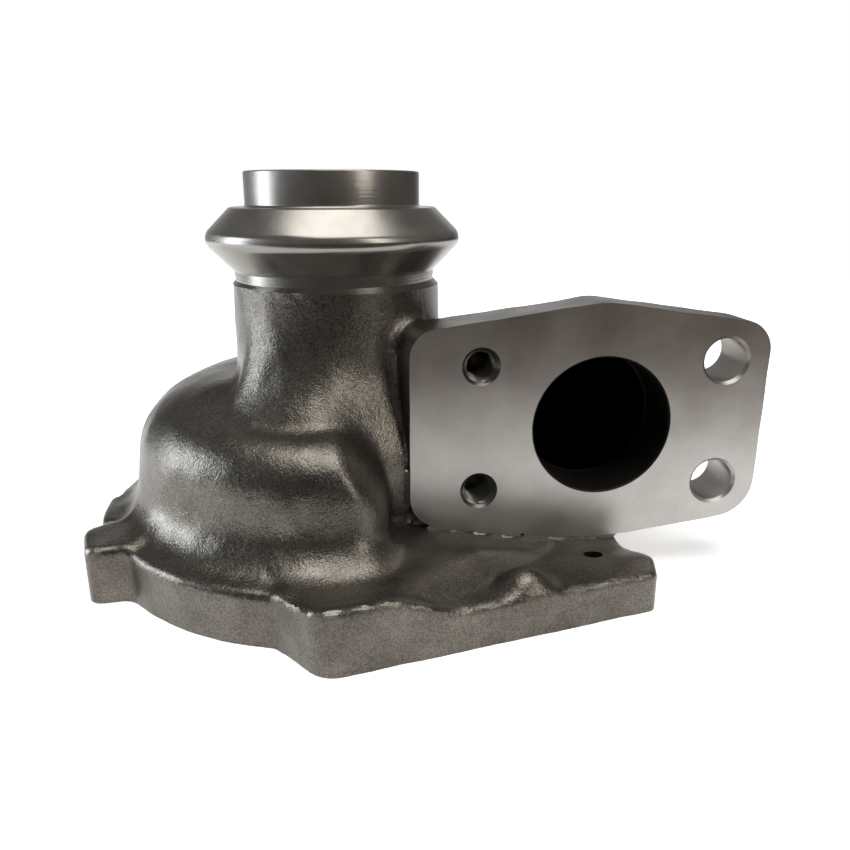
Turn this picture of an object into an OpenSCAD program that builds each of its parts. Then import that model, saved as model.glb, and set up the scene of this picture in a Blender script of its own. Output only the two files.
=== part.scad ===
// Turbine housing of a small turbocharger: one iron casting with machined faces.
// Z is the turbine axis, the bearing side is at the bottom and the outlet at the top.
// The inlet flange faces along -Y.

/* [Collar and spigot] */
// Outer radius of the outlet spigot
spigot_r = 22.6; // [21.5:0.1:23.5]
// Height of the spigot above the collar's shoulder
spigot_h = 8.7; // [4:0.1:14]
// Largest radius of the clamp collar
collar_r = 33; // [31:0.1:36]
// Radius of the rounded crest of the collar
crest_round = 3.2; // [2:0.1:4]
// Height of the middle of the crest above the base
crest_z = 84.2; // [80:0.1:92]
// Height from the middle of the crest up to the shoulder
shoulder_h = 7.7; // [7:0.1:9]
// Rounding of the shoulder's outer corner
shoulder_round = 1.2; // [0.5:0.1:2]
// Radius of the machined groove under the collar
groove_r = 26.2; // [25:0.1:26.8]
// Height of the groove
groove_h = 2.6; // [1.5:0.1:4]
// Height of the sloped ledge below the groove
ledge_h = 1.5; // [1:0.1:2.5]

/* [Neck] */
// Radius of the cast neck
neck_r = 27.6; // [26.5:0.1:28.5]
// Radius of the outlet bore
outlet_r = 20.4; // [19:0.1:21]
// Radius of the turbine bore at its narrowest
exducer_r = 18.7; // [16:0.1:19.5]
// Radius of the turbine bore at the nozzle
inducer_r = 24; // [23:0.1:26]

/* [Scroll] */
// Wall between the passage and the outside of the duct
duct_wall = 5.2; // [4:0.1:7]
// Distance of the passage from the turbine axis where the scroll begins
scroll_start_r = 60.5; // [58:0.5:62]
// Distance of the passage from the turbine axis where the scroll ends
scroll_end_r = 40; // [39:0.5:42]
// Radius of the passage where the scroll ends
passage_end_r = 2; // [1.5:0.1:2.4]
// Outer radius of the scroll tube where it ends
tube_end_r = 9; // [8:0.1:10]
// Height of the nozzle gap that feeds the turbine
nozzle_z = 29.5; // [28:0.1:31]
// Width of the nozzle gap
nozzle_w = 5; // [3:0.1:6]
// Angle at which the tube starts to tuck in beside the inlet duct
tuck_angle = 274; // [270:1:285]
// How far it tucks in
tuck_depth = 11.5; // [10:0.5:13]
// How far the passage tucks in
passage_tuck = 9.5; // [8.5:0.5:10]
// How far the gas passage lies outside the middle of its tube, half way round
passage_shift = 0.8; // [0:0.1:1.2]
// Angle over which the scroll winds
scroll_turn = 335; // [320:1:340]

/* [Inlet flange] */
// Distance of the flange face in front of the turbine axis
flange_y = 33.2; // [32:0.1:38]
// Thickness of the flange
flange_t = 14.5; // [12:0.1:16]
// Distance of the port to the right of the turbine axis
port_x = 65.2; // [64:0.1:67]
// Height of the port above the base
port_z = 39.5; // [38:0.1:42]
// Diameter of the port
port_d = 35; // [32:0.5:36]
// Distance between the bolt holes across the flange
hole_span_x = 62; // [60:0.5:64]
// Distance between the bolt holes up the flange
hole_span_z = 32; // [30:0.5:34]
// Drilled diameter of the two tapped holes
tap_drill_d = 6.8; // [6.6:0.1:7]
// Countersink diameter of the two tapped holes
tap_sink_d = 9.5; // [8.5:0.1:10]
// Depth of the two tapped holes
tap_depth = 12.5; // [8:0.5:12.5]
// Diameter of the two plain bolt holes
bolt_d = 11; // [9:0.1:11.5]
// Countersink diameter of the two plain bolt holes
bolt_sink_d = 12.5; // [12:0.1:13]

/* [Base] */
// Radius of the round base plate
base_r = 63.4; // [62:0.1:65]
// Thickness of the round base plate
base_t = 13.2; // [12:0.1:14]
// Thickness of the left lug and of the two lugs at the back
lug_t = 14.6; // [13.5:0.1:16]
// Thickness of the straight front wall
wall_t = 15.4; // [14.5:0.1:16.5]
// Thickness of the right lug
thin_lug_t = 10; // [8:0.1:12]
// Radius of the recess that locates the bearing housing
pilot_r = 50; // [48:0.1:51]
// Depth of the recess
pilot_h = 5; // [4:0.1:6]
// Radius of the step above the recess, which seats the heat shield
seat_r = 43; // [41:0.1:45]
// Height of that step above the base
seat_z = 9; // [7:0.1:9.5]
// Radius of the opening for the turbine wheel
wheel_r = 30; // [28:0.1:31]
// Radius of the circle on which the base screws lie
screw_circle_r = 65; // [64:0.1:65.5]
// Depth of the base screw holes
screw_depth = 11; // [8:0.5:12]
// Diameter of the small hole in the right lug
pin_hole_d = 4.8; // [4:0.1:5.5]
// Radius of the small boss on the front wall
boss_r = 5.4; // [5:0.1:6.5]
// Height of the small boss
boss_h = 14.6; // [14:0.1:16.5]

/* [Hidden] */
$fn = 96;
eps = 0.01;
// Thickness of the straight rim behind the machined face of the flange
face_t = 2;
cast_color = [0.40, 0.38, 0.35];
machined_color = [0.72, 0.71, 0.69];
port_r = port_d / 2;
shoulder_z = crest_z + shoulder_h;
rim_z = shoulder_z + spigot_h;
crest_c = collar_r - crest_round;
cone_end_z = crest_z - (crest_c + crest_round * sqrt(2) - groove_r);
groove_z = cone_end_z - groove_h;
ledge_z = groove_z - ledge_h;
// Places of the small boss and of the small hole in the right lug
boss_x = 41;
boss_y = -58.2;
pin_x = 61.3;
pin_y = -44;
// Angles of the four screws that hold the bearing housing
screw_angles = [-151, -91, 29, 89];

// Points of an arc
function arc(c, r, a0, a1, n = 8) = [for (i = [0:n])
    let (a = a0 + (a1 - a0) * i / n)
    c + r * [cos(a), sin(a)]];

// A closed outline with each corner rounded: every corner is [x, y, radius]
function unit(v) = v / norm(v);
function rounded(c, n = 6) = [for (i = [0:len(c) - 1])
    let (
        p = [c[i].x, c[i].y],
        q = c[(i + len(c) - 1) % len(c)],
        s = c[(i + 1) % len(c)],
        u = unit([q.x, q.y] - p),
        v = unit([s.x, s.y] - p),
        half = acos(u * v) / 2,
        m = p + unit(u + v) * c[i][2] / sin(half),
        a = p + u * c[i][2] / tan(half) - m,
        b = p + v * c[i][2] / tan(half) - m,
        a0 = atan2(a.y, a.x),
        turn = (atan2(b.y, b.x) - a0 + 540) % 360 - 180
    )
    each c[i][2] > 0 ? arc(m, c[i][2], a0, a0 + turn, n) : [p]];

// Smooth maximum, which gives the blends between the cast forms
function smax(a, b, k) = max(a, b) + pow(max(k - abs(a - b), 0), 2) / (4 * k);
function ease(t) = (1 - cos(180 * min(max(t, 0), 1))) / 2;
function mix(a, b, t) = a + (b - a) * t;

// Scroll: how much of it is still to come at angle a, from 1 at its start to 0 at its end
function back_to_start(a) = ease((a - scroll_turn) / (360 - scroll_turn));
function left_over(a) = a > scroll_turn ? back_to_start(a) : 1 - a / scroll_turn;
// The last part of the tube tucks in beside the inlet duct
function tuck(a) = a > scroll_turn ? 1 - back_to_start(a) : ease((a - tuck_angle) / 16);
function tube_r(a) = mix(tube_end_r, port_r + duct_wall, pow(left_over(a), 2.1));
function passage_r(a) = mix(passage_end_r, port_r, pow(left_over(a), 1.6));
function scroll_r(a, depth = tuck_depth) =
    mix(scroll_end_r, scroll_start_r, pow(left_over(a), 5)) - depth * tuck(a);
function scroll_z(a) = mix(nozzle_z + 0.5, port_z, pow(left_over(a), 5));

// Shoulder: the rounded form between the neck and the scroll, large at the left and small in front
function shoulder_size(a) = a > scroll_turn ? back_to_start(a) : 1 - ease((a - 185) / 80);
function shoulder_r(a) = mix(12.5, 22.2, shoulder_size(a)) - 2.5 * tuck(a);
function shoulder_c(a) = mix(27, 31.8, shoulder_size(a)) + 5 * ease(1 - a / 130);
function shoulder_cz(a) = mix(36, 25.5, shoulder_size(a)) + 8 * ease(1 - a / 130);

// Skirt: the foot of the scroll, which sinks into the plate beside the inlet flange
function skirt_drop(a) = a > scroll_turn ? 1 - back_to_start(a) : ease((a - tuck_angle + 8) / 34);

// Distance along a ray from the foot of the axis, at height foot_z, to a circle with centre c
foot_z = 12;
function ray_circle(c, r, u) =
    let (along = c * u, off = c.x * u.y - c.y * u.x, d = r * r - off * off)
    along + (d >= 0 ? sqrt(d) : -3 * sqrt(-d));
function body_reach(a, e) =
    let (
        u = [cos(e), sin(e)],
        neck = (neck_r - 0.4) / cos(e),
        chamber = ray_circle([wheel_r - 8, 22 - foot_z], 14, u),
        shoulder = ray_circle([shoulder_c(a), shoulder_cz(a) - foot_z], shoulder_r(a), u),
        tube = ray_circle([scroll_r(a), scroll_z(a) - foot_z], tube_r(a), u),
        size = shoulder_size(a),
        drop = skirt_drop(a),
        skirt = ray_circle([45 - 4 * drop, 13 - 10 * drop - foot_z], 11, u)
    )
    smax(smax(smax(max(neck, chamber), shoulder, mix(4, 2, size)), tube, mix(3, 1, size)), skirt, mix(10, 6, drop));

// The cast outside of neck, shoulder, scroll and skirt, as rings of points round the axis
module scroll_outside() {
    n = 60;
    m = 24;
    top = 60;
    rings = [for (j = [0:m], i = [0:n - 1])
        let (a = i * 360 / n, e = top * j / m, d = body_reach(a, e))
        [d * cos(e) * cos(a), d * cos(e) * sin(a), foot_z + d * sin(e)]];
    points = concat(rings, [[0, 0, foot_z], [0, 0, foot_z + neck_r * tan(top)]]);
    sides = [for (j = [0:m - 1], i = [0:n - 1])
        let (k = (i + 1) % n, p = j * n + i, q = j * n + k)
        each [[p, q + n, q], [p, p + n, q + n]]];
    bottom = [for (i = [0:n - 1]) [i, (i + 1) % n, (m + 1) * n]];
    lid = [for (i = [0:n - 1]) [m * n + (i + 1) % n, m * n + i, (m + 1) * n + 1]];
    polyhedron(points, concat(sides, bottom, lid), convexity = 8);
}

// A skin over sections that all have the same number of points, with a fan over each end
function middle(s) = [for (p = s) 1] * s / len(s);
module skin(sections) {
    n = len(sections[0]);
    m = len(sections);
    points = concat([for (s = sections) each s], [middle(sections[0]), middle(sections[m - 1])]);
    sides = [for (j = [0:m - 2], i = [0:n - 1])
        let (k = (i + 1) % n, p = j * n + i, q = j * n + k)
        each [[p, q, q + n], [p, q + n, p + n]]];
    first = [for (i = [0:n - 1]) [(i + 1) % n, i, m * n]];
    last = [for (i = [0:n - 1]) [(m - 1) * n + i, (m - 1) * n + (i + 1) % n, m * n + 1]];
    polyhedron(points, concat(first, sides, last), convexity = 8);
}

// Straight duct from the flange to the start of the scroll
function duct_section(y, r) =
    let (t = (y + flange_y - flange_t / 2) / (flange_y - flange_t / 2), n = 36)
    [for (i = [0:n - 1])
        [mix(port_x, scroll_start_r, t) + r * cos(360 * i / n), y, port_z + r * sin(360 * i / n)]];
module duct_outside() {
    skin([for (y = [flange_t / 2 - flange_y, 4]) duct_section(y, port_r + duct_wall + 0.2)]);
}

// Foot that carries the duct on the base plate
module duct_foot() {
    half = port_r - 3;
    color(cast_color)
        translate([port_x - half - 2, flange_t / 2 - flange_y, base_t - 1])
            cube([2 * half, flange_y - flange_t / 2 + 6, port_z - port_r - base_t]);
}

// Passage: a round tube with a slot that narrows to the nozzle gap beside the turbine wheel
function passage_section(a) =
    let (
        r = passage_r(a),
        c = [scroll_r(a, passage_tuck) + passage_shift * ease(a / 60) * ease((260 - a) / 60), scroll_z(a)],
        open = ease(a / 25),
        w = nozzle_w / 2,
        lip = mix(c.x - 0.9 * r, inducer_r - 2, open),
        lip_z = mix(c.y, nozzle_z, open),
        profile = concat([[lip, lip_z - w]], arc(c, r, -140, 140, 12), [[lip, lip_z + w]])
    )
    [for (p = profile) [p.x * cos(a), p.x * sin(a), p.y]];
module passage() {
    steps = 30;
    squeeze = (port_r - 0.4) / port_r;
    inlet_end = [for (p = passage_section(0))
        let (q = squeeze * [p.x - scroll_start_r, p.z - port_z])
        [port_x + q.x, flange_t - flange_y - 1.5, port_z + q.y]];
    last = scroll_turn - 8;
    // It ends inside the turbine chamber
    inward = (wheel_r - inducer_r + 2) * [cos(scroll_turn), sin(scroll_turn), 0];
    chamber_end = [for (p = passage_section(scroll_turn)) p - inward];
    skin(concat([inlet_end], [for (i = [0:steps]) passage_section(i * last / steps)], [chamber_end]));
}

// Turbine chamber, nozzle lips, outlet bore, and the recess for the bearing housing
module axial_bores() {
    high_lip = nozzle_z + nozzle_w / 2;
    profile = [
        [0, -1], [pilot_r, -1], [pilot_r, pilot_h], [seat_r, pilot_h], [seat_r, seat_z], [wheel_r, seat_z],
        [wheel_r, high_lip + 0.4], [inducer_r, high_lip + 0.4],
        [exducer_r, high_lip + 9], [exducer_r, high_lip + 15],
        [outlet_r, high_lip + 36], [outlet_r, rim_z + 1], [0, rim_z + 1]];
    color(machined_color) rotate_extrude($fn = 128) polygon(profile);
}

// Clamp collar with its spigot, turned in one profile
module collar() {
    corner_c = crest_c + crest_round * sqrt(2) - shoulder_h - shoulder_round * (sqrt(2) - 1);
    profile = concat(
        [[outlet_r - 3, ledge_z - 2], [neck_r + 0.1, ledge_z - 2]],
        arc([neck_r - 0.4, ledge_z - 0.5], 0.5, 0, 90, 3),
        [[groove_r, groove_z], [groove_r, cone_end_z]],
        arc([crest_c, crest_z], crest_round, -45, 45, 12),
        arc([corner_c, shoulder_z - shoulder_round], shoulder_round, 45, 90, 4),
        arc([spigot_r + 0.8, shoulder_z + 0.8], 0.8, 270, 180, 4),
        arc([spigot_r - 0.4, rim_z - 0.4], 0.4, 0, 90, 3),
        [[outlet_r - 3, rim_z]]
    );
    color(machined_color) rotate_extrude($fn = 128) polygon(profile);
}

// Cast neck between the scroll and the collar
module neck() {
    color(cast_color) translate([0, 0, 40]) cylinder(r = neck_r, h = ledge_z - 40 - 1, $fn = 128);
}

// Outline of the inlet flange, measured from the middle of the port
flange_outline = [
    [-48.3, -25, 8.5], [-1, -31.1, 18], [42.2, -24.9, 10],
    [42.2, 24.9, 8], [-1, 31.1, 14], [-48.3, 24.4, 7]];
module inlet_flange() {
    color(machined_color)
        translate([port_x, -flange_y, port_z]) rotate([-90, 0, 0]) mirror([0, 1, 0])
            linear_extrude(face_t) polygon(rounded(flange_outline));
}

// Cast root of the flange, which spreads towards the neck
module flange_root() {
    function section(y, size, spread) = [for (p = rounded(flange_outline))
        [port_x + p.x * size + spread * min(p.x + 20, 0) / 28, y, port_z + p.y * size]];
    color(cast_color) skin([section(face_t / 2 - flange_y, 0.996, 0), section(flange_t - flange_y, 1, 4.2)]);
}

// Places something at each of the flange holes on one side: side -1 has the tapped ones
module at_flange_holes(side) {
    for (up = [-1, 1])
        translate([port_x + side * hole_span_x / 2, -flange_y, port_z + up * hole_span_z / 2])
            rotate([-90, 0, 0]) children();
}
module flange_cuts() {
    color(machined_color) {
        translate([port_x, -flange_y - 1, port_z]) rotate([-90, 0, 0]) cylinder(r = port_r, h = flange_t + 1);
        at_flange_holes(-1) translate([0, 0, -1]) cylinder(d = tap_drill_d, h = tap_depth + 1);
        at_flange_holes(-1) translate([0, 0, -eps])
            cylinder(d1 = tap_sink_d, d2 = tap_drill_d, h = (tap_sink_d - tap_drill_d) / 2);
        at_flange_holes(1) translate([0, 0, -1]) cylinder(d = bolt_d, h = flange_t + 4);
        at_flange_holes(1) translate([0, 0, -eps])
            cylinder(d1 = bolt_sink_d, d2 = bolt_d, h = (bolt_sink_d - bolt_d) / 2);
        at_flange_holes(1) translate([0, 0, flange_t + eps]) mirror([0, 0, 1])
            cylinder(d1 = bolt_sink_d, d2 = bolt_d, h = (bolt_sink_d - bolt_d) / 2);
    }
}

// Base plate outlines: the straight front wall with the right lug, and the left lug
wall_outline = [
    [-12, -48, 0], [-14.4, -62.4, 0], [-5.5, -74.4, 7], [73.3, -55.7, 3], [75.9, -47, 4],
    [71.2, -38, 6], [71.2, -28, 5], [58, -8, 0], [20, -8, 0]];
left_lug_outline = [
    [-48, -30, 0], [-51.5, -36.4, 0], [-56, -37.4, 4], [-61.5, -37.9, 3.5], [-65.4, -24.8, 3.5],
    [-60.5, -22.2, 0], [-45, -20, 0]];
// Side view of the front wall, which drops to the right lug
wall_profile = [
    [-30, -1, 0], [-30, wall_t, 0], [22, wall_t, 6],
    [31, thin_lug_t + 0.2, 5], [36, thin_lug_t + 0.2, 0], [36, -1, 0]];
// In front of the inlet flange the plate falls away to the height of the right lug
relief = [[26, base_t + 1], [26, base_t], [44, thin_lug_t], [base_r + 1, thin_lug_t], [base_r + 1, base_t + 1]];
module back_lug(a) {
    rotate([0, 0, a]) translate([screw_circle_r - 3, 0, 0]) linear_extrude(lug_t)
        polygon(rounded([[-12, -14, 0], [-1, -12, 6], [10, -7, 5], [10, 7, 5], [-1, 12, 6], [-12, 14, 0]]));
}
module base_plate() {
    color(cast_color) {
        difference() {
            cylinder(r = base_r, h = base_t, $fn = 180);
            translate([0, -flange_y, 0]) rotate([90, 0, 0]) linear_extrude(base_r) polygon(relief);
        }
        linear_extrude(thin_lug_t) polygon(rounded(wall_outline));
        intersection() {
            linear_extrude(boss_h + 1) polygon(rounded(wall_outline));
            union() {
                rotate([90, 0, 0]) linear_extrude(90) polygon(rounded(wall_profile));
                translate([boss_x, boss_y, boss_h - boss_r]) sphere(r = boss_r);
            }
        }
        linear_extrude(lug_t) polygon(rounded(left_lug_outline));
        back_lug(screw_angles[2]);
        back_lug(screw_angles[3]);
        rotate([0, 0, 180]) rotate_extrude(angle = 16, $fn = 180)
            translate([pilot_r + 2, 0]) square([base_r - pilot_r, base_t]);
    }
}
module base_cuts() {
    color(machined_color) {
        for (a = screw_angles)
            rotate([0, 0, a]) translate([screw_circle_r, 0, -1])
                cylinder(d = tap_drill_d, h = screw_depth + 1);
        translate([pin_x, pin_y, -1]) cylinder(d = pin_hole_d, h = thin_lug_t + 2);
    }
}

module turbine_housing() {
    difference() {
        union() {
            color(cast_color) scroll_outside();
            color(cast_color) duct_outside();
            duct_foot();
            neck();
            collar();
            inlet_flange();
            flange_root();
            base_plate();
        }
        color(cast_color) passage();
        axial_bores();
        flange_cuts();
        base_cuts();
    }
}

turbine_housing();
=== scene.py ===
import math

import bpy
import numpy as np
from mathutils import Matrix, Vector


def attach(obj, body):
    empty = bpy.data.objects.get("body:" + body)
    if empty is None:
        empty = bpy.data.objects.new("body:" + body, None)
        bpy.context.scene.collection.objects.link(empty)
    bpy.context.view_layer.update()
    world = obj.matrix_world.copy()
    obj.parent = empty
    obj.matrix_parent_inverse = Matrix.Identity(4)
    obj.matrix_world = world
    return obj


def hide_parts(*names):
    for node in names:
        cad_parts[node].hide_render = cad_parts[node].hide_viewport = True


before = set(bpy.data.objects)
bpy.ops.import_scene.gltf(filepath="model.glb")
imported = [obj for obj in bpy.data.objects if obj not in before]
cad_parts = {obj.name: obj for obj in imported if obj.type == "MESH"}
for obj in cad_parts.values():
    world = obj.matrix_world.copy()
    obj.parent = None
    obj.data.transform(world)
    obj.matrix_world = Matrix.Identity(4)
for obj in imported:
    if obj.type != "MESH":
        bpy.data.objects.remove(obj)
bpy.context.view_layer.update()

# Sizes of the casting in millimetres, as in the part's source
MM = 0.001
NECK_R = 27.6
COLLAR_R, CREST_ROUND, CREST_Z, SHOULDER_H = 33.0, 3.2, 84.2, 7.7
SPIGOT_R, SPIGOT_H, GROOVE_R, GROOVE_H = 22.6, 8.7, 26.2, 2.6
OUTLET_R, EXDUCER_R, INDUCER_R = 20.4, 18.7, 24.0
FLANGE_Y, FLANGE_T = 33.2, 14.5
PORT_X, PORT_Z, PORT_R = 65.2, 39.5, 17.5
DUCT_R = 22.7
SCROLL_START_R, SCROLL_END_R, SCROLL_TURN = 60.5, 40.0, 335.0
TUCK_ANGLE, TUCK_DEPTH, PASSAGE_TUCK = 276.0, 15.5, 12.0
NOZZLE_Z, NOZZLE_W = 29.5, 5.0
BASE_R, BASE_T, LUG_T, THIN_LUG_T = 63.4, 13.2, 14.6, 10.0
PILOT_R, PILOT_H, SEAT_R, SEAT_Z, WHEEL_R = 50.0, 5.0, 43.0, 9.0, 30.0
SCREW_CIRCLE_R, SCREW_DEPTH, SCREW_MOUTH_R = 65.0, 11.0, 4.4
SCREW_ANGLES = (-151, -91, 29, 89)
TAP_DRILL_R, TAP_DEPTH, TAP_MOUTH_R, TAP_PITCH = 3.4, 12.5, 4.75, 1.25
PLAIN_HOLE_R, PLAIN_MOUTH_R = 5.5, 6.25
HALF_SPAN_X, HALF_SPAN_Z = 31, 16
LUG_HOLE_AT, LUG_HOLE_R = (61.3, -44, 0), 2.4
NECK_TOP, NECK_SHIFT = 76, 0.35
FLARE_R, FLARE_Z = 39.5, 53.5
CHAMBER_Z, CHAMBER_ROUND = 22, 14
SKIRT_R, SKIRT_Z, SKIRT_ROUND = 46, 9.5, 10
# Dome over the scroll, where it is low and where it is full
DOME_R, DOME_Z, DOME_ROUND = (38.6, 31.8), (28.5, 25.5), (11.8, 22.4)
FLANGE_SPREAD = 4.2
SHOULDER_Z = CREST_Z + SHOULDER_H
RIM_Z = SHOULDER_Z + SPIGOT_H
CREST_C = COLLAR_R - CREST_ROUND
CONE_END_Z = CREST_Z - (CREST_C + CREST_ROUND * math.sqrt(2) - GROOVE_R)
GROOVE_Z = CONE_END_Z - GROOVE_H


# Fields: signed distances in millimetres, negative inside the metal
def ease(t):
    t = np.clip(t, 0, 1)
    return t * t * t * (t * (6 * t - 15) + 10)


def mix(a, b, t):
    return a + (b - a) * t


def join(a, b, k):
    """Union with a fillet about k wide."""
    h = np.maximum(k - np.abs(a - b), 0)
    return np.minimum(a, b) - h * h / (4 * k)


def common(a, b, k):
    """Intersection with its edge rounded."""
    return -join(-a, -b, k)


def circle(u, v, cu, cv, r):
    return np.hypot(u - cu, v - cv) - r


def rounded(corners, steps=6):
    """Outline with rounded corners, each given as (x, y, radius)."""
    pts = []
    n = len(corners)
    for i, (x, y, r) in enumerate(corners):
        p = np.array((x, y), float)
        if r <= 0:
            pts.append(p)
            continue
        u = np.array(corners[i - 1][:2], float) - p
        v = np.array(corners[(i + 1) % n][:2], float) - p
        u, v = u / np.linalg.norm(u), v / np.linalg.norm(v)
        half = math.acos(float(u @ v)) / 2
        mid = p + (u + v) / np.linalg.norm(u + v) * r / math.sin(half)
        a, b = p + u * r / math.tan(half) - mid, p + v * r / math.tan(half) - mid
        a0 = math.atan2(a[1], a[0])
        turn = (math.atan2(b[1], b[0]) - a0 + 3 * math.pi) % (2 * math.pi) - math.pi
        for s in range(steps + 1):
            w = a0 + turn * s / steps
            pts.append(mid + r * np.array((math.cos(w), math.sin(w))))
    return np.array(pts)


def outline(u, v, pts):
    """Signed distance to a closed outline."""
    best = np.full(np.broadcast(u, v).shape, 1e9)
    inside = np.zeros(best.shape, bool)
    for (ax, ay), (bx, by) in zip(pts, np.roll(pts, -1, 0)):
        ex, ey = bx - ax, by - ay
        wx, wy = u - ax, v - ay
        t = np.clip((wx * ex + wy * ey) / (ex * ex + ey * ey), 0, 1)
        best = np.minimum(best, (wx - t * ex) ** 2 + (wy - t * ey) ** 2)
        if ey != 0:
            spans = (ay <= v) != (by <= v)
            inside = inside ^ (spans & (u < ax + wy * ex / ey))
    d = np.sqrt(best)
    return np.where(inside, -d, d)


# How the scroll runs round the axis; angles in degrees
def back_to_start(a):
    return ease((a - SCROLL_TURN) / (360 - SCROLL_TURN))


def left_over(a):
    return np.where(a > SCROLL_TURN, 0, 1 - a / SCROLL_TURN).clip(0, 1)


def rising(a, start, width):
    """Goes from 0 to 1 at the start angle, and back to 0 at the end of the turn."""
    return np.where(a > SCROLL_TURN, 1 - back_to_start(a), ease((a - start) / width))


def tuck(a, z=NOZZLE_Z):
    """The last part of the tube tucks in beside the inlet duct, lower down at a larger angle."""
    return rising(a, TUCK_ANGLE - 9 + 0.6 * np.clip(37 - z, -4, 18), 20)


def tube_r(a):
    return mix(9.0, DUCT_R, left_over(a) ** 2.1) - 25 * ease((a - 318) / 30)


def passage_r(a):
    return mix(2.0, PORT_R, left_over(a) ** 1.6)


def scroll_r(a, tucked):
    return mix(SCROLL_END_R, SCROLL_START_R, left_over(a) ** 5) - tucked


def scroll_z(a):
    return mix(NOZZLE_Z + 0.5, PORT_Z, left_over(a) ** 5)


def dome_size(a):
    return (1 - rising(a, 188, 60)) ** 1.5


FLANGE = rounded([
    (-48.3, -25, 8.5), (-1, -31.1, 18), (42.2, -24.9, 10),
    (42.2, 24.9, 8), (-1, 31.1, 14), (-48.3, 24.4, 7)], 10)
# Stock that the milling cutter takes off the flange face
STOCK = 1.5
# Lower edge of the machined face where it stands over the base, in X and Z
FACE_FOOT = [(28, 13.2), (43.5, 10.5), (56, 9.6), (71.2, 9.4), (72.2, 8.4)]
WALL = rounded([
    (-12, -48, 0), (-14.4, -62.4, 2), (-5.5, -74.4, 7), (73.3, -55.7, 3), (75.9, -47, 4),
    (71.2, -38, 6), (71.2, -28, 5), (58, -8, 0), (20, -8, 0)])
LEFT_LUG = rounded([
    (-48, -30, 0), (-51.5, -36.4, 0), (-56, -37.4, 4), (-61.5, -37.9, 3.5), (-65.4, -24.8, 3.5),
    (-60.5, -22.2, 0), (-45, -20, 0)])
BACK_LUG = rounded([
    (-12, -14, 0), (-1, -12, 6), (10, -7, 5), (10, 7, 5), (-1, 12, 6), (-12, 14, 0)])


def wobble(x, y, z):
    """Slight unevenness of a sand casting."""
    s = np.sin(x * 0.31 + 1.3 * np.sin(y * 0.17) + 0.4) * np.sin(y * 0.27 + 1.1 * np.sin(z * 0.23) + 1.7)
    t = np.sin(z * 0.41 + 1.2 * np.sin(x * 0.19 + 2.0)) * np.sin(x * 0.53 - y * 0.47 + 0.9)
    return 0.10 * s + 0.06 * t


def body_field(x, y, z):
    """Neck, shoulder, scroll tube and skirt, which turn round the axis."""
    rho = np.hypot(x, y)
    a = np.degrees(np.arctan2(y, x)) % 360
    size, early, tucked = dome_size(a), ease(1 - a / 130), tuck(a, z)
    drop = rising(a, TUCK_ANGLE - 6, 26)
    pulled = rising(a, TUCK_ANGLE - 21, 38)
    small = 1 - rising(a, 190, 36)
    neck = np.hypot(x - NECK_SHIFT, y) - NECK_R + 0.35 * ease((z - 58) / 16)
    neck = common(neck, z - NECK_TOP, 1)
    chamber = circle(rho, z, WHEEL_R - 8, CHAMBER_Z, CHAMBER_ROUND - 2.5 * tucked)
    flare = common(
        0.724 * (rho - NECK_R) + 0.69 * (z - FLARE_Z) + 6 * pulled + 9 * small,
        rho - FLARE_R + 6 * pulled + 5 * small, 4)
    dome = circle(
        rho, z, mix(*DOME_R, size) + 5 * early - TUCK_DEPTH * tucked,
        mix(*DOME_Z, size) + 8 * early, mix(*DOME_ROUND, size) - 2.5 * tucked)
    tube = circle(rho, z, scroll_r(a, TUCK_DEPTH * tucked), scroll_z(a), tube_r(a))
    skirt = circle(rho, z, SKIRT_R - 4 * drop, SKIRT_Z - 8 * drop, SKIRT_ROUND)
    d = join(join(neck, chamber, 5), flare, 9)
    d = join(d, join(dome, tube, 6), mix(3, 2.5, size))
    return join(d, skirt, mix(13, 6, drop))


def base_field(x, y, z):
    """Round plate, straight front wall with the soft boss, and the lugs."""
    rho = np.hypot(x, y)
    a = np.degrees(np.arctan2(y, x)) % 360
    # The top drops towards the thin lug at the right
    slanted = ease((x - 11 - 1.1 * np.clip(y + 60, -4, 27)) / 20)
    straight = np.clip((x - 23) / 26, 0, 1) ** 0.8
    fall = mix(straight, slanted, ease((-y - 40) / 8)) * ease((-y - 27) / 5)
    low_top = THIN_LUG_T - 1.2 + 1.3 * ease((-y - 36) / 14)
    pad = 2.0 * ease((a - 179.5) / 1.5) * ease((196.5 - a) / 1.5)
    plate = common(rho - BASE_R - pad, z - mix(BASE_T, low_top, fall), 2.2)
    edge = outline(x, y, WALL)
    from_front = 0.973 * (y + 74.4) - 0.231 * (x + 5.5)
    rim = 2.0 * np.exp(-((from_front / 7) ** 2))
    wall = common(edge, z - mix(BASE_T + 0.2 + rim, low_top, fall), 1.8)
    boss = np.sqrt((x - 41) ** 2 + (y + 58.2) ** 2 + (z - 8.2) ** 2) - 6.3
    wall = join(wall, common(boss, edge, 1.8), 3)
    lug = common(outline(x, y, LEFT_LUG), z - LUG_T, 2.2)
    d = join(join(plate, wall, 2.5), lug, 3)
    for angle in SCREW_ANGLES[2:]:
        c, s = math.cos(math.radians(angle)), math.sin(math.radians(angle))
        u, v = x * c + y * s - SCREW_CIRCLE_R + 3, y * c - x * s
        d = join(d, common(outline(u, v, BACK_LUG), z - LUG_T, 2.2), 3)
    return d


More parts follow.
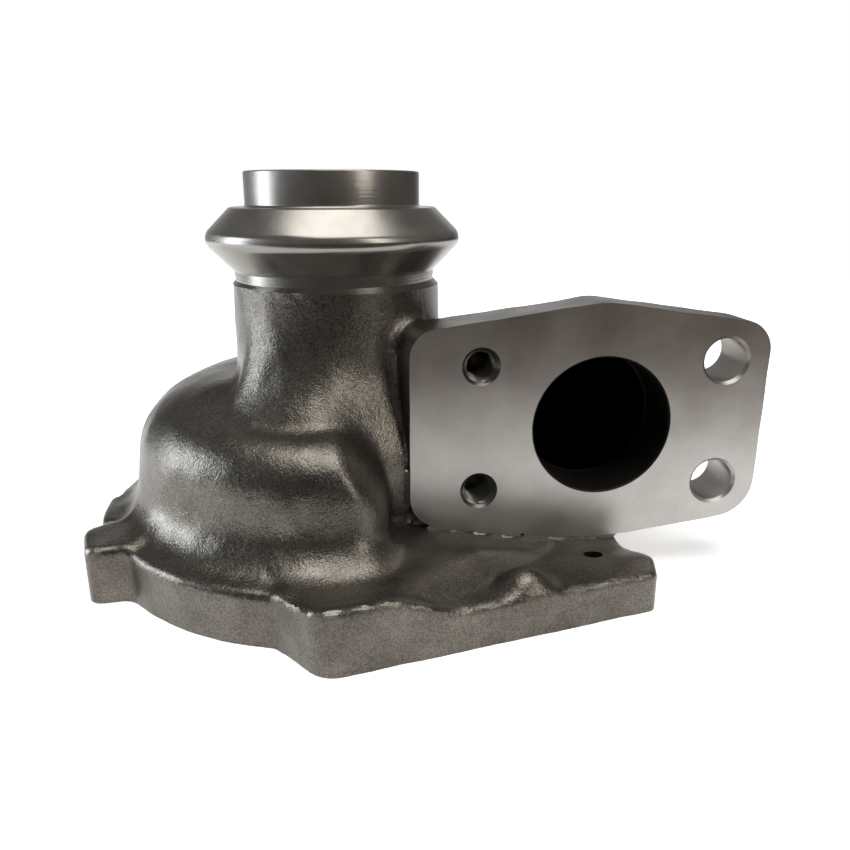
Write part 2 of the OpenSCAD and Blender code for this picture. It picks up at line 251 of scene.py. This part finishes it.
def flange_field(x, y, z):
    """Inlet flange with the root that spreads towards the neck, and some stock in front of its face."""
    depth = np.clip((y + FLANGE_Y) / FLANGE_T, 0, 1)
    spread = FLANGE_SPREAD * depth
    u = x - PORT_X
    u = np.where(u < -20, (u - spread * 20 / 28) / (1 + spread / 28), u)
    sides = outline(u, z - PORT_Z, FLANGE)
    back = y + FLANGE_Y - FLANGE_T
    foot_x, foot_z = zip(*FACE_FOOT)
    foot = np.interp(x, foot_x, foot_z)
    # Closes the slit between the flange and the base
    under = np.maximum(np.abs(x - 49.5) - 21, np.maximum(z - foot - 0.3, 4 - z))
    sides = np.minimum(sides, under)
    stock = mix(0.25, STOCK, ease((z - foot) / 4))
    return np.maximum(common(sides, back, 2.4), -y - FLANGE_Y - stock)


def duct_field(x, y, z):
    """Straight duct from the flange to the start of the scroll, and its foot."""
    centre = PORT_X - (PORT_X - SCROLL_START_R) * np.clip((y + 26) / 26, 0, 1)
    tube = np.maximum(circle(x, z, centre, PORT_Z, DUCT_R), np.maximum(y - 2, -y - 26))
    foot = np.maximum(np.abs(x - PORT_X + 2) - PORT_R + 3, np.abs(y + 6.35) - 19.6)
    foot = np.maximum(foot, np.abs(z - 16.6) - 4.4)
    return join(tube, foot, 3)


def casting_field(x, y, z):
    behind = ease((y + FLANGE_Y - 0.5) / 8)
    d = join(body_field(x, y, z), base_field(x, y, z), mix(7, 2.5, ease((x - 8) / 10)))
    d = join(d, duct_field(x, y, z), 3)
    d = join(d, flange_field(x, y, z), mix(0.3, 3.0, behind))
    d = d - wobble(x, y, z)
    collar = common(np.hypot(x, y) - COLLAR_R - 1.5, np.abs(z - 88) - 13.6, 0.5)
    d = np.minimum(d, collar)
    return np.maximum(d, -1.0 - z)


# Mesh of a field
def untangle(values):
    """Fills the grid squares whose diagonal corners touch, which would give edges with four faces."""
    for _ in range(12):
        found = 0
        for u, v in ((0, 1), (0, 2), (1, 2)):
            views = []
            for first in (slice(None, -1), slice(1, None)):
                for second in (slice(None, -1), slice(1, None)):
                    part = [slice(None)] * 3
                    part[u], part[v] = first, second
                    views.append(values[tuple(part)])
            signs = [w < 0 for w in views]
            tangled = (signs[0] == signs[3]) & (signs[1] == signs[2]) & (signs[0] != signs[1])
            found += int(tangled.sum())
            for w in views:
                w[tangled] = np.minimum(w[tangled], -0.01)
        if found == 0:
            break
    return values


def surface_net(values, origin, step):
    """Quads through the cells where the field changes sign."""
    inside = values < 0
    corners = [(i, j, k) for i in (0, 1) for j in (0, 1) for k in (0, 1)]
    nx, ny, nz = (n - 1 for n in values.shape)

    def at(block, c):
        return block[c[0]:c[0] + nx, c[1]:c[1] + ny, c[2]:c[2] + nz]

    count = sum(at(inside, c).astype(np.int8) for c in corners)
    active = (count > 0) & (count < 8)
    cell = np.array(np.nonzero(active))
    index = np.full(active.shape, -1, np.int32)
    index[tuple(cell)] = np.arange(cell.shape[1])
    total = np.zeros(cell.shape)
    hits = np.zeros(cell.shape[1])
    for c in corners:
        for axis in range(3):
            if c[axis]:
                continue
            e = list(c)
            e[axis] = 1
            fa = values[tuple(cell + np.array(c)[:, None])]
            fb = values[tuple(cell + np.array(e)[:, None])]
            cross = (fa < 0) != (fb < 0)
            t = np.where(cross, fa / np.where(cross, fa - fb, 1), 0)
            p = np.array(c, float)[:, None] + (np.arange(3) == axis)[:, None] * t
            total += p * cross
            hits += cross
    verts = ((total / hits + cell).T * step) + np.array(origin)
    quads = []
    for axis in range(3):
        u, v = (axis + 1) % 3, (axis + 2) % 3
        low = [slice(1, n) for n in (nx, ny, nz)]
        high = list(low)
        low[axis], high[axis] = slice(0, (nx, ny, nz)[axis]), slice(1, (nx, ny, nz)[axis] + 1)
        a, b = inside[tuple(low)], inside[tuple(high)]
        spot = np.array(np.nonzero(a != b))
        spot[u] += 1
        spot[v] += 1
        ring = []
        for du, dv in ((1, 1), (0, 1), (0, 0), (1, 0)):
            q = spot.copy()
            q[u] -= du
            q[v] -= dv
            ring.append(index[tuple(q)])
        ring = np.array(ring).T
        outward = inside[tuple(spot)]
        quads.append(np.where(outward[:, None], ring, ring[:, ::-1]))
    return verts, np.concatenate(quads)


def settle(verts, quads, field, rounds=2):
    """Evens the quads out and puts each point back on the surface."""
    edges = np.concatenate([quads[:, [i, (i + 1) % 4]] for i in range(4)])
    edges = np.concatenate([edges, edges[:, ::-1]])
    n = len(verts)
    weight = np.bincount(edges[:, 0], minlength=n)[:, None]
    nudge = 0.04
    for _ in range(rounds):
        near = np.stack([np.bincount(edges[:, 0], verts[edges[:, 1], i], n) for i in range(3)], 1)
        verts = mix(verts, near / weight, 0.6)
        for _ in range(2):
            f = field(*verts.T)
            g = np.empty_like(verts)
            for i in range(3):
                step = np.zeros(3)
                step[i] = nudge
                g[:, i] = (field(*(verts + step).T) - field(*(verts - step).T)) / (2 * nudge)
            size = np.maximum((g * g).sum(1), 0.2)
            verts = verts - g * (np.clip(f, -0.6, 0.6) / size)[:, None]
    return verts


def mesh_object(name, verts, faces, materials):
    data = bpy.data.meshes.new(name)
    data.from_pydata((np.asarray(verts) * MM).tolist(), [], [list(map(int, f)) for f in faces])
    data.validate()
    for m in materials:
        data.materials.append(m)
    ob = bpy.data.objects.new(name, data)
    bpy.context.scene.collection.objects.link(ob)
    return ob


def arc(cx, cy, r, a0, a1, n=8):
    turns = [math.radians(mix(a0, a1, i / n)) for i in range(n + 1)]
    return [(cx + r * math.cos(t), cy + r * math.sin(t)) for t in turns]


def lathe(profile, n):
    """Ring or solid of revolution round Z. A profile that starts and ends on the axis is closed there."""
    solid = profile[0][0] == 0 and profile[-1][0] == 0
    area = sum(p[0] * q[1] - q[0] * p[1] for p, q in zip(profile, profile[1:] + profile[:1]))
    if area < 0:
        profile = profile[::-1]
    core = profile[1:-1] if solid else profile
    m = len(core)
    ang = 2 * np.pi * np.arange(n) / n
    verts = [(r * math.cos(t), r * math.sin(t), z) for t in ang for r, z in core]
    faces = []
    for i in range(n):
        j = (i + 1) % n
        for k in range(m if not solid else m - 1):
            q = (k + 1) % m
            faces.append((i * m + k, j * m + k, j * m + q, i * m + q))
    if solid:
        verts += [(0, 0, profile[0][1]), (0, 0, profile[-1][1])]
        for i in range(n):
            j = (i + 1) % n
            faces.append((n * m, j * m, i * m))
            faces.append((n * m + 1, i * m + m - 1, j * m + m - 1))
    return np.array(verts, float), faces


def place(verts, origin, axis):
    """Turns a lathe shape so that its +Z lies along the axis, and moves it."""
    z = np.array(axis, float)
    x = np.cross((0, 0, 1) if abs(z[2]) < 0.9 else (0, 1, 0), z)
    x /= np.linalg.norm(x)
    return verts @ np.array([x, np.cross(z, x), z]) + np.array(origin, float)


def threaded(drill_r, sink_r, depth, pitch=TAP_PITCH):
    """Cutter for a tapped blind hole: +Z points out of the mouth, at height 0. The rows follow the helix."""
    n = 48
    # Rows of one pitch: how far along it, and how far out of the thread's depth
    shape = ((0, 0), (0.25, 0), (0.5625, 1), (0.6875, 1))
    rows = len(shape)
    thread_depth = 0.54 * pitch
    last = int((depth + 3 * pitch) / pitch) * rows
    verts = []

    def point(k, i):
        z = (k // rows + shape[k % rows][0] + i / n) * pitch - depth
        fade = min(1, max(0, (z + depth) / 2))
        r = max(drill_r + thread_depth * shape[k % rows][1] * fade, sink_r + z)
        t = 2 * math.pi * i / n
        verts.append((r * math.cos(t), r * math.sin(t), z))

    for i in range(n):
        for k in range(last + 1):
            point(k, i)
    for k in range(last - rows + 1, last + 1):
        point(k, n)

    def at(k, i):
        if i < n:
            return i * (last + 1) + k
        return k + rows if k + rows <= last else n * (last + 1) + k + rows - last - 1

    faces = [
        (at(k, i), at(k, i + 1), at(k + 1, i + 1), at(k + 1, i))
        for i in range(n) for k in range(last)]
    low, high = len(verts), len(verts) + 1
    verts += [(0, 0, -depth - drill_r * 0.55), (0, 0, verts[-1][2] + 1)]
    faces += [(low, at(0, i + 1), at(0, i)) for i in range(n)]
    faces += [(low, at(k, 0), at(k + 1, 0)) for k in range(rows)]
    faces += [(high, at(last, i), at(last, i + 1)) for i in range(n)]
    faces += [(high, at(k + 1, n), at(k, n)) for k in range(last - rows, last)]
    return np.array(verts), faces


def face_cutter(grow, y0, y1):
    """The flange's outline, a little larger, drawn along Y. It stays above the top of the base."""
    t = np.roll(FLANGE, -1, 0) - np.roll(FLANGE, 1, 0)
    t /= np.linalg.norm(t, axis=1)[:, None]
    p = FLANGE + grow * np.stack([t[:, 1], -t[:, 0]], 1) + np.array((PORT_X, PORT_Z))
    left = [q for q in p if q[0] < 30 and q[1] < PORT_Z]
    rest = [q for q in p if q[0] > 80 or q[1] > PORT_Z]
    p = left + FACE_FOOT + rest
    n = len(p)
    verts = [(x, y0, z) for x, z in p] + [(x, y1, z) for x, z in p]
    faces = [tuple(range(n)), tuple(range(2 * n - 1, n - 1, -1))]
    faces += [((i + 1) % n, i, n + i, n + (i + 1) % n) for i in range(n)]
    return np.array(verts, float), faces


def passage_cutter():
    """The gas passage with its slot to the turbine wheel."""
    rings = []

    def section(a):
        r = float(passage_r(a))
        cx, cz = float(scroll_r(a, PASSAGE_TUCK * tuck(a))), float(scroll_z(a))
        opened = float(ease(a / 25))
        w = NOZZLE_W / 2
        lip, lip_z = mix(cx - 0.9 * r, INDUCER_R - 2, opened), mix(cz, NOZZLE_Z, opened)
        prof = [(lip, lip_z - w)] + arc(cx, cz, r, -140, 140, 40) + [(lip, lip_z + w)]
        c, s = math.cos(math.radians(a)), math.sin(math.radians(a))
        return np.array([(p * c, p * s, q) for p, q in prof])

    first = section(0)
    narrower = 0.978
    for y in (FLANGE_T - FLANGE_Y - 1.5, FLANGE_T - FLANGE_Y + 6):
        t = -y / FLANGE_Y
        q = first.copy()
        middle = mix(SCROLL_START_R, PORT_X, min(1, t * 1.7))
        q[:, 0] = (first[:, 0] - SCROLL_START_R) * narrower + middle
        q[:, 2] = (first[:, 2] - PORT_Z) * narrower + PORT_Z
        q[:, 1] = y
        rings.append(q)
    last = SCROLL_TURN - 8
    steps = 84
    rings += [section(last * i / steps) for i in range(steps + 1)]
    end = section(SCROLL_TURN)
    turn = math.radians(SCROLL_TURN)
    rings.append(end - (WHEEL_R - INDUCER_R + 2) * np.array((math.cos(turn), math.sin(turn), 0)))
    m, k = len(rings), len(first)
    verts = np.concatenate(rings + [[rings[0].mean(0)], [rings[-1].mean(0)]])
    faces = [
        (j * k + i, j * k + (i + 1) % k, (j + 1) * k + (i + 1) % k, (j + 1) * k + i)
        for j in range(m - 1) for i in range(k)]
    faces += [(m * k, (i + 1) % k, i) for i in range(k)]
    faces += [(m * k + 1, (m - 1) * k + i, (m - 1) * k + (i + 1) % k) for i in range(k)]
    return verts, faces


# Materials
def tools_of(tree):
    """Functions that add a node to a tree and link two nodes."""
    def node(kind, **values):
        n = tree.nodes.new(kind)
        for key, value in values.items():
            if key.startswith("in_"):
                n.inputs[key[3:].replace("_", " ")].default_value = value
            else:
                setattr(n, key, value)
        return n

    def link(a, out, b, into):
        tree.links.new(a.outputs[out], b.inputs[into])

    return node, link


def new_material(name):
    m = bpy.data.materials.new(name)
    m.use_nodes = True
    return m, m.node_tree.nodes["Principled BSDF"], *tools_of(m.node_tree)


def ramp(node, low, high, at=(0.3, 0.7)):
    n = node("ShaderNodeValToRGB")
    for e, place_at, colour in zip(n.color_ramp.elements, at, (low, high)):
        e.position = place_at
        e.color = (*colour, 1)
    return n


def cast_material():
    m, shader, node, link = new_material("cast_iron")
    where = node("ShaderNodeTexCoord")
    grain = node("ShaderNodeTexNoise", in_Scale=2300.0, in_Detail=2.0, in_Roughness=0.6)
    lumps = node("ShaderNodeTexNoise", in_Scale=620.0, in_Detail=3.0, in_Roughness=0.6)
    blotch = node("ShaderNodeTexNoise", in_Scale=75.0, in_Detail=5.0, in_Roughness=0.65)
    for n in (grain, lumps, blotch):
        link(where, "Object", n, "Vector")
    colour = ramp(node, (0.105, 0.095, 0.080), (0.190, 0.176, 0.154))
    link(blotch, "Fac", colour, "Fac")
    speck = ramp(node, (0.6, 0.6, 0.6), (1.12, 1.12, 1.12), (0.36, 0.62))
    link(grain, "Fac", speck, "Fac")
    tint = node("ShaderNodeMix", data_type="RGBA", blend_type="MULTIPLY")
    tint.inputs["Factor"].default_value = 1.0
    link(colour, "Color", tint, 6)
    link(speck, "Color", tint, 7)
    # Worn edges and painted edge highlight: convex edges picked out by Pointiness are lightened towards a
    # pale grey
    shape = node("ShaderNodeNewGeometry")
    wear_and_highlight = ramp(node, (0, 0, 0), (1, 1, 1), (0.54, 0.63))
    link(shape, "Pointiness", wear_and_highlight, "Fac")
    edge = node("ShaderNodeMix", data_type="RGBA")
    link(wear_and_highlight, "Color", edge, "Factor")
    link(tint, 2, edge, 6)
    edge.inputs[7].default_value = (0.36, 0.35, 0.33, 1)
    link(edge, 2, shader, "Base Color")
    rough = node("ShaderNodeMapRange", in_To_Min=0.24, in_To_Max=0.38)
    link(grain, "Fac", rough, "Value")
    link(rough, "Result", shader, "Roughness")
    coarse = node("ShaderNodeBump", in_Strength=0.45, in_Distance=0.0003)
    fine = node("ShaderNodeBump", in_Strength=0.7, in_Distance=0.00012)
    link(lumps, "Fac", coarse, "Height")
    link(grain, "Fac", fine, "Height")
    link(coarse, "Normal", fine, "Normal")
    link(fine, "Normal", shader, "Normal")
    shader.inputs["Metallic"].default_value = 0.9
    return m


def machined_material(name, low, high, roughness, marks):
    """Machined iron. Its tool marks run "round" the axis, or "upright" on the face."""
    m, shader, node, link = new_material(name)
    where = node("ShaderNodeTexCoord")
    spot = node("ShaderNodeTexNoise", in_Scale=65.0, in_Detail=4.0, in_Roughness=0.6)
    link(where, "Object", spot, "Vector")
    colour = ramp(node, low, high)
    link(spot, "Fac", colour, "Fac")
    shader.inputs["Metallic"].default_value = 0.85
    rough = node("ShaderNodeMapRange", in_To_Min=roughness - 0.05, in_To_Max=roughness + 0.08)
    link(spot, "Fac", rough, "Value")
    link(rough, "Result", shader, "Roughness")
    line = node("ShaderNodeTexNoise", in_Scale=1.0, in_Detail=3.0, in_Roughness=0.7)
    scale = node("ShaderNodeVectorMath", operation="MULTIPLY")
    split = node("ShaderNodeSeparateXYZ")
    link(where, "Object", split, "Vector")
    if marks == "round":
        link(colour, "Color", shader, "Base Color")
        flat = node("ShaderNodeCombineXYZ")
        link(split, "X", flat, "X")
        link(split, "Y", flat, "Y")
        radius = node("ShaderNodeVectorMath", operation="LENGTH")
        link(flat, "Vector", radius, 0)
        both = node("ShaderNodeCombineXYZ")
        link(radius, "Value", both, "X")
        link(split, "Z", both, "Y")
        scale.inputs[1].default_value = (1500, 1500, 0)
        link(both, "Vector", scale, 0)
        tangent = node("ShaderNodeTangent", direction_type="RADIAL", axis="Z")
        link(tangent, "Tangent", shader, "Tangent")
        shader.inputs["Anisotropic"].default_value = 0.7
    else:
        # Painted shade: a brown darkening that deepens upwards, as on the inlet face
        painted_shade_upwards = node("ShaderNodeMapRange", in_From_Min=0.030, in_From_Max=0.064)
        link(split, "Z", painted_shade_upwards, "Value")
        tint = node("ShaderNodeMix", data_type="RGBA", blend_type="MULTIPLY")
        tint.inputs[7].default_value = (0.60, 0.55, 0.51, 1)
        link(painted_shade_upwards, "Result", tint, "Factor")
        link(colour, "Color", tint, 6)
        link(tint, 2, shader, "Base Color")
        scale.inputs[1].default_value = (1100, 1100, 30)
        link(where, "Object", scale, 0)
    link(scale, "Vector", line, "Vector")
    bump = node("ShaderNodeBump", in_Strength=0.35, in_Distance=0.00004)
    link(line, "Fac", bump, "Height")
    link(bump, "Normal", shader, "Normal")
    return m


cast = cast_material()
turned = machined_material("turned_iron", (0.22, 0.21, 0.19), (0.32, 0.305, 0.28), 0.24, "round")
milled = machined_material("milled_iron", (0.38, 0.365, 0.35), (0.50, 0.485, 0.47), 0.33, "upright")
tapped = machined_material("tapped_iron", (0.10, 0.095, 0.09), (0.17, 0.165, 0.155), 0.32, "upright")
# Near-black iron for the port, the gas passage and the lug hole: painted shade inside these hollows
painted_shade_iron = machined_material("inner_painted_shade", (0.016, 0.015, 0.014), (0.032, 0.030, 0.027), 0.6, "upright")

# The casting, then what the machines take off it
STEP = 1.25
GRID = ((-69, 111), (-78, 77), (-3.1, 105))
axes = [np.arange(lo, hi, STEP) for lo, hi in GRID]
gx, gy, gz = axes[0][:, None, None], axes[1][None, :, None], axes[2][None, None, :]
values = untangle(casting_field(gx, gy, gz))
verts, quads = surface_net(values, [a[0] for a in axes], STEP)
verts = settle(verts, quads, casting_field)
housing = mesh_object("turbine_housing_casting", verts, quads, [cast, turned, milled, tapped, painted_shade_iron])

def cut(name, shape, material):
    ob = mesh_object("cut_" + name, shape[0], shape[1], [material])
    mod = housing.modifiers.new(name, "BOOLEAN")
    mod.operation = "DIFFERENCE"
    mod.solver = "MANIFOLD"
    mod.object = ob
    return ob


def drill(name, shape, at, axis, material):
    """Cuts with a shape of revolution whose +Z is laid along the axis."""
    cut(name, (place(shape[0], at, axis), shape[1]), material)


def big_box(x0, x1, y0, y1, z0, z1):
    v = [(x, y, z) for x in (x0, x1) for y in (y0, y1) for z in (z0, z1)]
    f = [(0, 1, 3, 2), (4, 6, 7, 5), (0, 4, 5, 1), (2, 3, 7, 6), (0, 2, 6, 4), (1, 5, 7, 3)]
    return np.array(v, float), f


# Clamp collar and spigot: what lies outside their turned profile, up to beyond the casting
OVER_TOP = 108
corner_c = CREST_C + CREST_ROUND * math.sqrt(2) - SHOULDER_H - 1.2 * (math.sqrt(2) - 1)
outside = [
    (40, GROOVE_Z - 2.2), (28.4, GROOVE_Z - 2.2), (GROOVE_R + 0.15, GROOVE_Z - 0.05),
    (GROOVE_R, GROOVE_Z + 0.15), (GROOVE_R, CONE_END_Z - 0.2), (GROOVE_R + 0.2, CONE_END_Z + 0.1)]
outside += arc(CREST_C, CREST_Z, CREST_ROUND, -45, 45, 20)
outside += arc(corner_c, SHOULDER_Z - 1.2, 1.2, 45, 90, 8)
outside += arc(SPIGOT_R + 0.8, SHOULDER_Z + 0.8, 0.8, 270, 180, 8)
outside += arc(SPIGOT_R - 0.4, RIM_Z - 0.4, 0.4, 0, 90, 5)
outside += [(10, RIM_Z), (10, OVER_TOP), (40, OVER_TOP)]
cut("collar_turned", lathe(outside, 192), turned)

# From below: pilot, seat, wheel chamber, wheel bore and outlet
inside = [
    (0, -2), (PILOT_R + 1.2, -2), (PILOT_R + 0.6, 0), (PILOT_R, 0.6), (PILOT_R, PILOT_H),
    (SEAT_R, PILOT_H), (SEAT_R, SEAT_Z), (WHEEL_R, SEAT_Z), (WHEEL_R, NOZZLE_Z + 2.9),
    (INDUCER_R, NOZZLE_Z + 2.9), (INDUCER_R - 1.6, NOZZLE_Z + 4.3), (INDUCER_R - 3.6, NOZZLE_Z + 7.5),
    (EXDUCER_R, NOZZLE_Z + 11.5), (EXDUCER_R, NOZZLE_Z + 17.5), (OUTLET_R, NOZZLE_Z + 38.5),
    (OUTLET_R, RIM_Z - 0.5), (OUTLET_R + 0.5, RIM_Z), (OUTLET_R + 0.5, OVER_TOP + 1), (0, OVER_TOP + 1)]
cut("turned_inside", lathe(inside, 160), turned)

# Base and inlet face
cut("base_milled", big_box(-90, 130, -100, 100, -20, 0), milled)
face = cut("face_milled", face_cutter(0.6, -FLANGE_Y - STOCK - 0.8, -FLANGE_Y), milled)
# Only the end of this cutter is a machined face
face.data.materials.append(cast)
for side in face.data.polygons[2:]:
    side.material_index = 1

# Gas inlet
FORWARD, DOWN, UP = (0, -1, 0), (0, 0, -1), (0, 0, 1)
port = [(0, -FLANGE_T), (PORT_R, -FLANGE_T), (PORT_R, -0.4), (PORT_R + 0.4, 0), (PORT_R + 0.4, 3), (0, 3)]
drill("port", lathe(port, 128), (PORT_X, -FLANGE_Y, PORT_Z), FORWARD, painted_shade_iron)
cut("passage", passage_cutter(), painted_shade_iron)

# Holes
tap = threaded(TAP_DRILL_R, TAP_MOUTH_R, TAP_DEPTH)
plain = lathe([
    (0, -20), (PLAIN_MOUTH_R, -20), (PLAIN_MOUTH_R, -FLANGE_T), (PLAIN_HOLE_R, -FLANGE_T + 0.75),
    (PLAIN_HOLE_R, -0.75), (PLAIN_MOUTH_R, 0), (PLAIN_MOUTH_R, 3), (0, 3)], 72)
for i, z in enumerate((PORT_Z - HALF_SPAN_Z, PORT_Z + HALF_SPAN_Z)):
    drill(f"tapped_{i}", tap, (PORT_X - HALF_SPAN_X, -FLANGE_Y, z), FORWARD, tapped)
    drill(f"plain_{i}", plain, (PORT_X + HALF_SPAN_X, -FLANGE_Y, z), FORWARD, milled)
screw = threaded(TAP_DRILL_R, SCREW_MOUTH_R, SCREW_DEPTH)
for i, angle in enumerate(SCREW_ANGLES):
    t = math.radians(angle)
    at = (SCREW_CIRCLE_R * math.cos(t), SCREW_CIRCLE_R * math.sin(t), 0)
    drill(f"screw_{i}", screw, at, DOWN, milled)
lug_hole = [(0, -3), (LUG_HOLE_R, -3), (LUG_HOLE_R, THIN_LUG_T + 5), (0, THIN_LUG_T + 5)]
drill("lug_hole", lathe(lug_hole, 40), LUG_HOLE_AT, UP, painted_shade_iron)

SHARP_FROM = math.radians(32)
graph = bpy.context.evaluated_depsgraph_get()
done = bpy.data.meshes.new_from_object(housing.evaluated_get(graph), depsgraph=graph)
cutters = [mod.object for mod in housing.modifiers]
housing.modifiers.clear()
housing.data = done
for ob in cutters:
    bpy.data.objects.remove(ob)
done.shade_smooth()
done.set_sharp_from_angle(angle=SHARP_FROM)
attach(housing, "root")
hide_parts("turbine_housing")

# Floor: a sheet of paper, white to the camera away from the housing
LEFT, RIGHT, NEAR, FAR = -0.6, 0.6, -0.165, 0.7
CELLS = 24
spots = range(CELLS + 1)
sheet = bpy.data.meshes.new("floor")
sheet.from_pydata(
    [(mix(LEFT, RIGHT, i / CELLS), mix(NEAR, FAR, j / CELLS), 0) for j in spots for i in spots], [],
    [(k, k + 1, k + CELLS + 2, k + CELLS + 1)
     for k in (j * (CELLS + 1) + i for j in range(CELLS) for i in range(CELLS))])
floor = bpy.data.objects.new("floor", sheet)
bpy.context.scene.collection.objects.link(floor)
m, shader, node, link = new_material("floor_paper")
shader.inputs["Base Color"].default_value = (0.86, 0.86, 0.86, 1)
shader.inputs["Roughness"].default_value = 0.9
shader.inputs["Emission Color"].default_value = (1, 1, 1, 1)
path = node("ShaderNodeLightPath")
where = node("ShaderNodeTexCoord")
away = node("ShaderNodeVectorMath", operation="LENGTH")
link(where, "Object", away, 0)
glow = node("ShaderNodeMapRange", in_From_Min=0.10, in_From_Max=0.30, in_To_Min=0.55, in_To_Max=1.0)
link(away, "Value", glow, "Value")
rays = node("ShaderNodeMath", operation="MAXIMUM")
link(path, "Is Camera Ray", rays, 0)
link(path, "Is Glossy Ray", rays, 1)
seen = node("ShaderNodeMath", operation="MULTIPLY")
link(rays, "Value", seen, 0)
link(glow, "Result", seen, 1)
link(seen, "Value", shader, "Emission Strength")
sheet.materials.append(m)

# World: a dim room with a white wall behind the housing, and white to the camera
world = bpy.data.worlds.new("studio")
bpy.context.scene.world = world
world.use_nodes = True
room = world.node_tree.nodes["Background"]
node, link = tools_of(world.node_tree)
where = node("ShaderNodeTexCoord")
split = node("ShaderNodeSeparateXYZ")
link(where, "Generated", split, 0)
height = node("ShaderNodeMapRange", in_From_Min=-0.05, in_From_Max=0.2)
link(split, "Z", height, "Value")
dim = node("ShaderNodeMix", data_type="RGBA")
dim.inputs[6].default_value = (0.055, 0.048, 0.045, 1)
dim.inputs[7].default_value = (0.14, 0.135, 0.13, 1)
link(height, "Result", dim, "Factor")
wall = node("ShaderNodeMapRange", in_From_Min=0.80, in_From_Max=0.97)
link(split, "Y", wall, "Value")
tone = node("ShaderNodeMix", data_type="RGBA")
tone.inputs[7].default_value = (0.95, 0.95, 0.95, 1)
link(dim, 2, tone, 6)
link(wall, "Result", tone, "Factor")
link(tone, 2, room, "Color")
white = node("ShaderNodeBackground", in_Strength=1.0, in_Color=(1, 1, 1, 1))
pick = node("ShaderNodeMixShader")
path = node("ShaderNodeLightPath")
link(path, "Is Camera Ray", pick, 0)
link(room, 0, pick, 1)
link(white, 0, pick, 2)
link(pick, 0, world.node_tree.nodes["World Output"], "Surface")


MIDDLE = Vector((0, 0, 0.05))


def lamp(name, where, size, power, colour):
    """Soft lamp that faces the middle of the housing and isn't seen itself."""
    data = bpy.data.lights.new(name, "AREA")
    data.shape = "RECTANGLE"
    data.size, data.size_y = size
    data.energy = power
    data.color = colour
    ob = bpy.data.objects.new(name, data)
    bpy.context.scene.collection.objects.link(ob)
    ob.location = where
    ob.rotation_euler = (MIDDLE - Vector(where)).to_track_quat("-Z", "Y").to_euler()
    ob.visible_camera = False


lamp("overhead", (0.05, -0.15, 1.0), (0.8, 0.8), 8.0, (1.0, 0.98, 0.95))
lamp("window", (-0.95, 0.1, 0.2), (0.35, 0.6), 6.0, (0.84, 0.92, 1.0))
lamp("right", (0.6, -0.7, 0.5), (0.25, 0.6), 2.5, (1.0, 0.95, 0.88))

# Camera, where the photograph was taken from
lens = bpy.data.cameras.new("camera")
lens.lens = 31.81
lens.sensor_width = 36
lens.clip_start = 0.01
camera = bpy.data.objects.new("camera", lens)
camera.location = (0.000715, -0.206707, 0.095938)
camera.rotation_euler = (math.radians(72.65), 0, math.radians(-6.516))
bpy.context.scene.collection.objects.link(camera)
bpy.context.scene.camera = camera
bpy.context.scene.view_settings.view_transform = "Standard"
